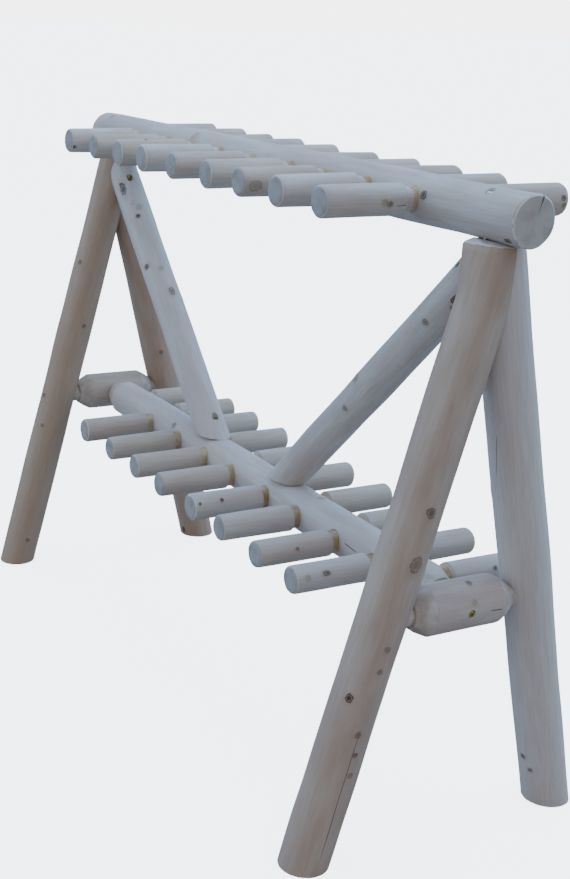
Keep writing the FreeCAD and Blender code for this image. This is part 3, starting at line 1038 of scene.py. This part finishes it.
@dataclass
class AFrame:
    """One A-frame: two mitred legs and the cross rail at its end of the rack."""

    end: End
    spacing: float = 1.655
    foot_spread: float = 0.617
    crossing: float = 1.191
    foot_radius: float = 0.050
    head_radius: float = 0.0485
    spare: float = 0.16
    rail_height: float = 0.509
    rail_radius: float = 0.0505
    rail_cone: float = 0.036
    rail_cone_end: float = 0.029
    rail_tenon: float = 0.024
    tenon_depth: float = 0.062
    shoulder_gap: float = 0.002
    cone_belly: float = 0.0015
    eased_edge: float = 0.007
    saddle: float = 0.006
    saddle_slope: float = math.radians(8.0)
    bore_radius: float = 0.009
    bore_depth: float = 0.006

    @property
    def x(self) -> float:
        """Where the A-frame stands along the rack."""
        return self.end.value * self.spacing / 2

    def head_height(self) -> float:
        """Return the height of the flat top that carries the beam."""
        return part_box(f"leg_{self.end.word}_left")[1].z

    def inner_face(self, height: float) -> float:
        """Return how far a leg's inner side stands from the middle plane."""
        lean = math.atan2(self.foot_spread / 2, self.crossing)
        share = height / self.crossing
        radius = self.foot_radius + share * (self.head_radius - self.foot_radius)
        return self.foot_spread / 2 * (1 - share) - radius / math.cos(lean)

    def leg(self, side: Side, finishes: Finishes) -> None:
        """Build one leg.

        Args:
            side: The side of the rack that the leg stands on.
            finishes: The rack's materials.
        """
        node = f"leg_{self.end.word}_{side.word}"
        foot = Vector((self.x, side.value * self.foot_spread / 2, 0.0))
        crossing = Vector((self.x, 0.0, self.crossing))
        along = (crossing - foot).normalized()
        trunk = Trunk(
            f"peeled_{node}", foot - along * self.spare, crossing + along * self.spare,
            self.foot_radius, self.head_radius, **DETAILS.get(node, {})
        )
        log, spots = trunk.build()
        saw(log, Vector((0, 0, 0)), Vector((0, 0, -1)))
        saw(log, Vector((0, 0, 0)), Vector((0, -side.value, 0)))
        self.shape_head(log, side)
        outward = Vector((0, side.value, 0))
        mouth = Vector((self.x, 0, self.rail_height))
        bottom = mouth + outward * (self.inner_face(self.rail_height) + self.tenon_depth)
        drill(log, [Bore(mouth, bottom, self.rail_tenon)])
        trunk.mark(log, spots)
        cuts = face_cuts(log, trunk)
        dress(log, node, finishes.of("leg"), cuts)

    def shape_head(self, log: bpy.types.Object, side: Side) -> None:
        """Cut the leg's head as half of a shallow saddle and round its edge with short knife cuts.

        Args:
            log: The leg in the rack's frame.
            side: The side of the rack that the leg stands on.
        """
        top = self.head_height()
        up = Vector((0, -side.value * math.sin(self.saddle_slope), math.cos(self.saddle_slope)))
        saw(log, Vector((0, side.value * self.saddle, top)), up)
        middle = Vector((self.x, side.value * self.foot_spread / 2 * (1 - top / self.crossing), top))
        middle += Vector((0, 0, (side.value * middle.y - self.saddle) * math.tan(self.saddle_slope)))
        places = corners(log)
        places = places[(places - np.array(middle)) @ np.array(up) > -1e-4]
        strokes = 9
        for stroke in range(strokes):
            angle = math.pi * (stroke + 0.5) / strokes
            across = Vector((math.cos(angle), side.value * math.sin(angle), 0))
            reach = ((places - np.array(middle)) @ np.array(across)).max()
            centre = middle + across * (reach - self.eased_edge) - up * self.eased_edge
            for tilt in (30.0, 60.0):
                slope = across * math.cos(math.radians(tilt)) + up * math.sin(math.radians(tilt))
                saw(log, centre + slope * self.eased_edge, slope)

    def rail(self, finishes: Finishes) -> None:
        """Build the cross rail with its cones and tenons.

        Args:
            finishes: The rack's materials.
        """
        node = f"rail_{self.end.word}"
        cone_end = self.inner_face(self.rail_height + self.rail_cone_end) - self.shoulder_gap
        shoulder = cone_end - self.rail_cone
        tenon_end = self.inner_face(self.rail_height) + self.tenon_depth
        steps = (
            (self.rail_cone / 2, (self.rail_radius + self.rail_cone_end) / 2 + self.cone_belly),
            (self.rail_cone / 2, self.rail_cone_end),
            (0.0005, self.rail_tenon),
            (tenon_end - cone_end - 0.0005, self.rail_tenon),
        )
        left_end, right_end = (Vector((self.x, side.value * shoulder, self.rail_height)) for side in Side)
        trunk = Trunk(
            f"peeled_{node}", left_end, right_end, self.rail_radius, self.rail_radius, steps, steps,
            ring_length=0.005, swell=0.0012, facets=0.0009, **DETAILS.get(node, {})
        )
        log, spots = trunk.build()
        face = Vector((self.end.value, 0, 0))
        middle = Vector((self.x, 0, self.rail_height))
        mouth = middle + face * (self.rail_radius + 0.02)
        bores = [
            Bore(mouth, middle + face * (self.rail_radius - self.bore_depth), self.bore_radius),
            Bore(middle - face * (self.rail_radius + 0.02), middle + face * 0.004, 0.025),
        ]
        drill(log, bores)
        trunk.mark(log, spots)
        ends = ((-1.0, -0.001), (trunk.length + 0.001, 2.0))
        dress(log, node, finishes.of("rail"), face_cuts(log, trunk, ends))

    def build(self, finishes: Finishes) -> None:
        """Build both legs and the rail."""
        for side in Side:
            self.leg(side, finishes)
        self.rail(finishes)


@dataclass
class Brace:
    """A diagonal brace, cut plumb against its A-frame and level on the lower beam."""

    end: End
    spacing: float = 1.655
    axis_height: float = 1.199
    slope: float = math.radians(45.0)
    radius: float = 0.0405
    beam_top: float = 0.509 + 0.049
    bore_radius: float = 0.009
    bore_reach: float = 0.060

    def bore(self, screw: str, outward: Vector) -> Bore:
        """Return the counterbore that a screw's head sits in.

        Args:
            screw: The screw's node.
            outward: The direction from the head out of the wood.

        Returns:
            A bore that ends just under the head.
        """
        low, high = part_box(screw)
        middle = (Vector(low) + Vector(high)) / 2
        half = abs((Vector(high) - Vector(low)).dot(outward)) / 2
        seat = middle + outward * (half - 0.004)
        return Bore(seat + outward * self.bore_reach, seat, self.bore_radius)

    def build(self, finishes: Finishes) -> None:
        """Build the brace.

        Args:
            finishes: The rack's materials.
        """
        node = f"brace_{self.end.word}"
        sign = self.end.value
        low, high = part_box(node)
        down_slope = Vector((-sign * math.cos(self.slope), 0, -math.sin(self.slope)))
        start = Vector((sign * self.spacing / 2, 0, self.axis_height))
        length = (self.axis_height - self.beam_top) / math.sin(self.slope) + 2 * self.radius
        trunk = Trunk(
            f"peeled_{node}", start - down_slope * 2 * self.radius, start + down_slope * length,
            self.radius, self.radius, sides=72, **DETAILS.get(node, {})
        )
        log, spots = trunk.build()
        plumb = high.x if sign > 0 else low.x
        saw(log, Vector((plumb, 0, 0)), Vector((sign, 0, 0)))
        saw(log, Vector((0, 0, high.z)), Vector((0, 0, 1)))
        saw(log, Vector((0, 0, low.z)), Vector((0, 0, -1)))
        drill(log, [
            self.bore(f"brace_foot_screw_{self.end.word}", Vector((0, 0, 1))),
            self.bore(f"brace_top_screw_{self.end.word}", Vector((-sign, 0, 0))),
        ])
        trunk.mark(log, spots)
        dress(log, node, finishes.of("brace"), face_cuts(log, trunk))


@dataclass
class Beam:
    """A long beam with a row of blind peg holes on each side."""

    node: str
    near: Vector
    far: Vector
    near_radius: float
    far_radius: float
    near_steps: Steps
    far_steps: Steps
    neck_bore: float
    peg_bore: float = 0.02125
    neck_floor: float = 0.0365
    web: float = 0.008
    bore_radius: float = 0.009

    def peg_bores(self, rows: tuple[str, ...], radius: float, floor: float) -> list[Bore]:
        """Return the blind holes for the pegs of some rows.

        Args:
            rows: The rows' names.
            radius: The holes' radius.
            floor: How far the holes end from the middle plane.

        Returns:
            One bore for each peg node of these rows.
        """
        bores = []
        for node in sorted(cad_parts):
            row = next((name for name in rows if node.startswith(f"peg_{name}_")), None)
            if row is None:
                continue
            low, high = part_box(node)
            outward = Vector((0, -1 if row.endswith("left") else 1, 0))
            axis = Vector(((low.x + high.x) / 2, 0, (low.z + high.z) / 2))
            bores.append(Bore(axis + outward * 0.09, axis + outward * floor, radius))
        return bores

    def build(self, finishes: Finishes, rows: tuple[str, ...], screws: tuple[Vector, ...]) -> None:
        """Build the beam.

        Args:
            finishes: The rack's materials.
            rows: The rows of pegs that the beam carries.
            screws: Where screws are sunk into its upper side.
        """
        trunk = Trunk(
            f"peeled_{self.node}", self.near, self.far, self.near_radius, self.far_radius,
            self.near_steps, self.far_steps, **DETAILS.get(self.node, {})
        )
        log, spots = trunk.build()
        sinks = [Bore(seat + Vector((0, 0, 0.05)), seat, self.bore_radius) for seat in screws]
        drill(log, self.peg_bores(rows, self.neck_bore, self.neck_floor) + sinks)
        drill(log, self.peg_bores(rows, self.peg_bore, self.web))
        trunk.mark(log, spots)
        whittled = ()
        if self.node == "lower_beam":
            whittled = ((-1.0, -0.001), (trunk.length + 0.001, 4.0))
        dress(log, self.node, finishes.of("beam"), face_cuts(log, trunk, whittled))


@dataclass
class PegRow:
    """A row of pegs, each turned to its own length and girth.

    The full girth starts at the stand-off from the middle plane, and the shoulder runs down to the neck,
    which stays pale at first and is tan near the beam.
    """

    row: str
    count: int
    stand_off: float
    shoulder: float
    neck: float
    pale_neck: float
    longer: float
    radius: float = 0.0305
    tenon: float = 0.021
    neck_end: float = 0.038
    rim: float = 0.008
    rim_steps: int = 5
    taper: float = 0.985
    web: float = 0.010
    girths: tuple[float, ...] = (1.0, 1.03, 0.98, 1.02, 0.99, 1.04, 1.01, 0.97)

    def build(self, finishes: Finishes) -> None:
        """Build the row.

        Args:
            finishes: The rack's materials.
        """
        for number in range(1, self.count + 1):
            self.peg(f"peg_{self.row}_{number}", finishes)

    def peg(self, node: str, finishes: Finishes) -> None:
        """Build one peg.

        Args:
            node: The CAD node that the peg stands for.
            finishes: The rack's materials.
        """
        low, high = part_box(node)
        way = -1 if self.row.endswith("left") else 1
        tip = max(abs(low.y), abs(high.y)) + self.longer
        x = (low.x + high.x) / 2
        z = (low.z + high.z) / 2
        inner_steps = (
            (self.shoulder, self.neck + 0.0006),
            (self.pale_neck, self.neck + 0.0003),
            (self.stand_off - self.shoulder - self.pale_neck - self.neck_end, self.neck),
            (0.0005, self.tenon),
            (self.neck_end - 0.0005 - self.web, self.tenon),
        )
        own = dict(DETAILS.get(node, {}))
        radius = self.radius * own.pop("girth", self.girths[sum(map(ord, node)) % len(self.girths)])
        tip_radius = radius * self.taper
        bends = [math.pi / 2 * step / self.rim_steps for step in range(self.rim_steps + 1)]
        rim = tuple(
            (self.rim * (math.sin(after) - math.sin(before)), tip_radius - self.rim * (1 - math.cos(after)))
            for before, after in zip(bends, bends[1:])
        )
        own.setdefault("seed", sum(ord(letter) for letter in node) + 31 * int(node.rsplit("_", 1)[1]))
        own.setdefault("tone", (own["seed"] * 0.618034) % 1.0 * 0.45)
        trunk = Trunk(
            f"turned_{node}", Vector((x, way * self.stand_off, z)), Vector((x, way * (tip - self.rim), z)),
            radius, tip_radius, inner_steps, rim, sides=56, ring_length=0.008,
            swell=0.0012, facets=0.0009, **own
        )
        log, spots = trunk.build()
        trunk.mark(log, spots)
        cuts = face_cuts(log, trunk, ((-1.0, -self.shoulder - self.pale_neck - 0.0005),))
        heights = np.array([face.center.y * way for face in log.data.polygons])
        cuts[(heights < self.stand_off + 0.001) & (cuts == Cut.END_GRAIN.value)] = Cut.PEELED.value
        dress(log, node, finishes.of("peg"), cuts)


@dataclass(frozen=True)
class Lamp:
    """A square soft lamp: its place, aim, side length, power and colour."""

    name: str
    place: tuple[float, float, float]
    aim: tuple[float, float, float]
    size: float
    power: float
    colour: tuple[float, float, float]

    def hang(self) -> None:
        """Add the lamp to the scene."""
        data = bpy.data.lights.new(self.name, "AREA")
        data.size = self.size
        data.energy = self.power
        data.color = self.colour
        lamp = bpy.data.objects.new(self.name, data)
        way = Vector(self.aim) - Vector(self.place)
        lamp.matrix_world = Matrix.Translation(self.place) @ way.to_track_quat("-Z", "Y").to_matrix().to_4x4()
        bpy.context.scene.collection.objects.link(lamp)


@dataclass
class Studio:
    """A pale floor under a cool open sky that is dimmer and warmer behind the photographer."""

    floor_size: float = 900.0
    sky: tuple[float, float, float] = (0.39, 0.625, 1.0)
    dusk: tuple[float, float, float] = (0.42, 0.33, 0.23)
    sky_strength: float = 1.42
    backdrop: tuple[float, float, float] = (0.97, 0.98, 1.0)
    backdrop_strength: float = 5.0
    floor_glow: float = 4.2
    bounce: tuple[float, float, float] = (0.34, 0.33, 0.32)
    lamps: tuple[Lamp, ...] = (
        Lamp("overhead", (-0.4, 0.6, 4.0), (0.0, 0.0, 0.9), 3.0, 60.0, (0.60, 0.76, 1.0)),
        Lamp("left_window", (-1.6, -4.2, 2.4), (0.0, 0.0, 0.7), 2.4, 45.0, (0.58, 0.74, 1.0)),
        Lamp("right_window", (1.2, 4.4, 2.4), (0.4, 0.0, 0.7), 2.4, 45.0, (0.58, 0.74, 1.0)),
    )

    def build(self) -> None:
        """Add the floor, the sky and the lamps."""
        self.floor()
        self.world()
        for lamp in self.lamps:
            lamp.hang()

    def floor(self) -> None:
        """Lay the floor, pale to the eye and dim as a reflector."""
        bpy.ops.object.select_all(action="DESELECT")
        bpy.ops.mesh.primitive_plane_add(size=self.floor_size, location=(0, 0, 0))
        floor = bpy.context.active_object
        floor.name = "studio_floor"
        made, graph, seen = new_finish("pale_floor")
        place = graph.add("ShaderNodeTexCoord").outputs["Object"]
        tint = graph.mix(graph.noise(place, 3.0), (0.93, 0.94, 0.95, 1.0), (0.96, 0.96, 0.96, 1.0))
        graph.put(seen, "Base Color", tint)
        seen.inputs["Roughness"].default_value = 0.9
        seen.inputs["Emission Color"].default_value = (*self.backdrop, 1.0)
        seen.inputs["Emission Strength"].default_value = self.floor_glow
        dim = graph.add("ShaderNodeBsdfDiffuse", Color=(*self.bounce, 1.0))
        straight = graph.add("ShaderNodeLightPath").outputs["Is Camera Ray"]
        blend = graph.add("ShaderNodeMixShader", Fac=straight)
        graph.put(blend, 1, dim.outputs[0])
        graph.put(blend, 2, seen.outputs[0])
        graph.put(made.node_tree.nodes["Material Output"], "Surface", blend.outputs[0])
        floor.data.materials.append(made)

    def world(self) -> None:
        """Light the scene from the sky and show a plain backdrop above the floor."""
        world = bpy.data.worlds.new("overcast")
        world.use_nodes = True
        graph = NodeGraph(world.node_tree)
        light = world.node_tree.nodes["Background"]
        direction = graph.add("ShaderNodeTexCoord").outputs["Generated"]
        height = graph.split(direction)[2]
        behind = Vector(PHOTOGRAPHER.place).xy.normalized()
        facing = graph.add("ShaderNodeVectorMath", {"operation": "DOT_PRODUCT"})
        graph.put(facing, 0, direction)
        graph.put(facing, 1, (behind.x, behind.y, 0.0))
        low = graph.ramp(height, 0.35, 0.95, 1.0, 0.0)
        dim = graph.times(graph.ramp(facing.outputs["Value"], -0.05, 0.75), low)
        graph.put(light, "Color", graph.mix(dim, (*self.sky, 1.0), (*self.dusk, 1.0)))
        light.inputs["Strength"].default_value = self.sky_strength
        wall = graph.add("ShaderNodeBackground", Color=(*self.backdrop, 1.0), Strength=self.backdrop_strength)
        straight = graph.add("ShaderNodeLightPath").outputs["Is Camera Ray"]
        blend = graph.add("ShaderNodeMixShader", Fac=straight)
        graph.put(blend, 1, light.outputs[0])
        graph.put(blend, 2, wall.outputs[0])
        graph.put(world.node_tree.nodes["World Output"], "Surface", blend.outputs[0])
        bpy.context.scene.world = world


DETAILS: dict[str, dict] = {
    "top_beam": {"seed": 3, "hidden_knots": 8, "knots": (
        Knot((424, 195), 0.009, 0.8), Knot((508, 241), 0.006, 0.9, 1.6),
        Knot((196, 136), 0.012, 0.15, 1.0, 0.005), Knot((226, 128), 0.005, 0.5, 1.3))},
    "lower_beam": {"seed": 5, "hidden_knots": 7, "tone": -0.15, "knots": (
        Knot((174, 425), 0.009, 0.5), Knot((322, 498), 0.008, 0.3)),
        "checks": (Check((343, 542), (358, 554), 0.0016),)},
    "leg_near_left": {"seed": 7, "hidden_knots": 7, "tone": 0.35,
        "swellings": (Swelling((463, 252), 0.011, 0.085), Swelling((466, 228), 0.011, 0.06)), "knots": (
        Knot((431, 513), 0.010, 0.65, 1.1, 0.0012), Knot((416, 565), 0.013, 0.45, 1.3, 0.0025),
        Knot((349, 698), 0.008, 0.9, 1.2), Knot((380, 672), 0.006, 0.5), Knot((388, 650), 0.007, 0.4),
        Knot((358, 735), 0.007, 0.5), Knot((355, 755), 0.006, 0.6), Knot((350, 775), 0.006, 0.4)),
        "checks": (Check((315, 875), (365, 715), 0.0009),)},
    "leg_near_right": {"seed": 11, "hidden_knots": 7, "tone": -0.75, "knots": (
        Knot((491, 489), 0.008, 0.6), Knot((523, 756), 0.006, 0.7), Knot((530, 770), 0.005, 0.6)),
        "checks": (Check((497, 430), (497, 480), 0.0008),)},
    "leg_far_left": {"seed": 13, "hidden_knots": 6, "tone": 1.0, "knots": (
        Knot((80, 262), 0.007, 0.6), Knot((84, 326), 0.007, 0.5), Knot((44, 395), 0.007, 0.6),
        Knot((38, 408), 0.006, 0.5), Knot((42, 425), 0.006, 0.5), Knot((28, 540), 0.007, 0.5))},
    "leg_far_right": {"seed": 17, "hidden_knots": 6, "tone": 0.3, "knots": (
        Knot((161, 352), 0.007, 0.5), Knot((184, 529), 0.007, 0.8, 1.5, 0.003))},
    "rail_near": {"seed": 19, "hidden_knots": 2, "tone": 0.1, "knots": (
        Knot((469, 583), 0.008, 0.6, 0.8), Knot((475, 602), 0.006, 0.2)),
        "checks": (Check((490, 611), (504, 609), 0.0012),)},
    "rail_far": {"seed": 23, "hidden_knots": 2, "tone": 0.4},
    "brace_near": {"seed": 29, "hidden_knots": 4, "tone": -0.1, "knots": (
        Knot((457.8, 265), 0.004, 0.9, 2.2), Knot((455.5, 299), 0.007, 0.9, 1.8),
        Knot((453, 308), 0.006, 0.7), Knot((425, 322), 0.007, 0.6),
        Knot((357, 378), 0.009, 0.3, 1.2, 0.004), Knot((345, 408), 0.007, 0.5))},
    "brace_far": {"seed": 31, "hidden_knots": 4, "tone": -0.35, "knots": (
        Knot((122.5, 189), 0.010, 0.80, 2.2, -0.006),
        Knot((138, 216), 0.007, 0.9), Knot((139, 207), 0.008, 0.15),
        Knot((147, 267), 0.008, 0.85), Knot((161, 268), 0.006, 0.15), Knot((172, 291), 0.009, 0.6, 1.4),
        Knot((205, 290), 0.007, 0.5))},
    "peg_top_left_1": {"seed": 37, "tone": 0.05, "knots": (
        Knot((390, 204), 0.006, 0.6, 1.2), Knot((385, 202), 0.006, 0.25)),
        "checks": (Check((395, 206), (408, 205), 0.0010),)},
    "peg_top_left_2": {"seed": 38, "tone": -0.25},
    "peg_top_left_3": {"seed": 41, "tone": 0.55, "knots": (Knot((256, 186), 0.012, 0.3, 1.4),)},
    "peg_top_left_4": {"seed": 42, "tone": -0.05},
    "peg_top_left_5": {"seed": 44, "tone": 0.1},
    "peg_top_left_6": {"seed": 45, "tone": -0.3},
    "peg_top_left_7": {"seed": 43, "tone": 0.5, "knots": (Knot((146, 140), 0.004, 0.9),)},
    "peg_top_left_8": {"seed": 46, "tone": 0.4},
    "peg_top_left_9": {"seed": 47, "tone": -0.2, "knots": (Knot((74, 147), 0.005, 0.8, 1.3),)},
    "peg_top_right_1": {"seed": 53, "tone": 0.5, "girth": 1.06, "knots": (
        Knot((564, 198), 0.006, 0.8), Knot((564, 205), 0.005, 0.5))},
    "peg_lower_right_1": {"seed": 59, "tone": -0.2, "knots": (Knot((495, 568), 0.005, 0.8),)},
    "peg_lower_left_1": {"seed": 61, "tone": -0.25, "knots": (
        Knot((327, 573), 0.006, 0.7, 1.6), Knot((308, 578), 0.006, 0.15))},
    "peg_lower_left_2": {"seed": 62, "tone": 0.35, "knots": (Knot((297.5, 549), 0.005, 0.6),)},
    "peg_lower_left_3": {"seed": 63, "tone": 0.0},
    "peg_lower_left_4": {"seed": 64, "tone": -0.1, "knots": (
        Knot((222, 500), 0.005, 0.9), Knot((200, 504), 0.004, 0.8))},
    "peg_lower_left_5": {"seed": 65, "tone": 0.5},
    "peg_lower_left_6": {"seed": 66, "tone": 0.6},
    "peg_lower_left_7": {"seed": 67, "tone": 0.5},
    "peg_lower_left_8": {"seed": 68, "tone": 0.4},
}


PEG_ROWS = (
    PegRow("top_left", 9, 0.0775, 0.009, 0.0230, 0.010, 0.005),
    PegRow("top_right", 10, 0.0775, 0.009, 0.0230, 0.010, 0.0),
    PegRow("lower_left", 8, 0.0660, 0.004, 0.0252, 0.001, 0.007),
    PegRow("lower_right", 10, 0.0660, 0.004, 0.0252, 0.001, 0.0),
)


def rack_beams() -> tuple[tuple[Beam, tuple[str, ...], tuple[Vector, ...]], ...]:
    """Return the two beams with their rows and the seats of their screws."""
    height = 1.260
    near_x, far_x = 0.9110, -0.9005
    near_rim = ((0.002, 0.0455), (0.002, 0.0430))
    far_rim = ((0.003, 0.0510), (0.003, 0.0493), (0.003, 0.0465), (0.002, 0.0405))
    near_end = Vector((near_x - 0.004, 0, height))
    far_end = Vector((far_x + 0.011, 0, height))
    top = Beam("top_beam", near_end, far_end, 0.0470, 0.05145, near_rim, far_rim, 0.0236)
    seats = []
    for end in End:
        for side in Side:
            low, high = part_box(f"apex_screw_{end.word}_{side.word}")
            seats.append(Vector(((low.x + high.x) / 2, (low.y + high.y) / 2, high.z - 0.004)))
    shoulder = 0.725
    cone = ((0.050, 0.035), (0.0005, 0.025), (0.056, 0.025))
    near_end, far_end = (Vector((end.value * shoulder, 0, 0.509)) for end in End)
    lower = Beam("lower_beam", near_end, far_end, 0.049, 0.049, cone, cone, 0.0262)
    return (
        (top, ("top_left", "top_right"), tuple(seats)),
        (lower, ("lower_left", "lower_right"), ()),
    )


def plate_screws(finishes: Finishes) -> None:
    """Give the screws their plating."""
    for node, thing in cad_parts.items():
        if "screw" in node:
            thing.data.materials.clear()
            thing.data.materials.append(finishes.galvanised if "apex" in node else finishes.zinc)


def main() -> None:
    """Build the rack's looks in order."""
    logging.basicConfig(level=logging.INFO, format="%(message)s")
    PHOTOGRAPHER.add_camera()
    finishes = Finishes()
    for beam, rows, screws in rack_beams():
        beam.build(finishes, rows, screws)
    for end in End:
        AFrame(end).build(finishes)
        Brace(end).build(finishes)
    for row in PEG_ROWS:
        row.build(finishes)
    plate_screws(finishes)
    Studio().build()


if __name__ == "__main__":
    main()
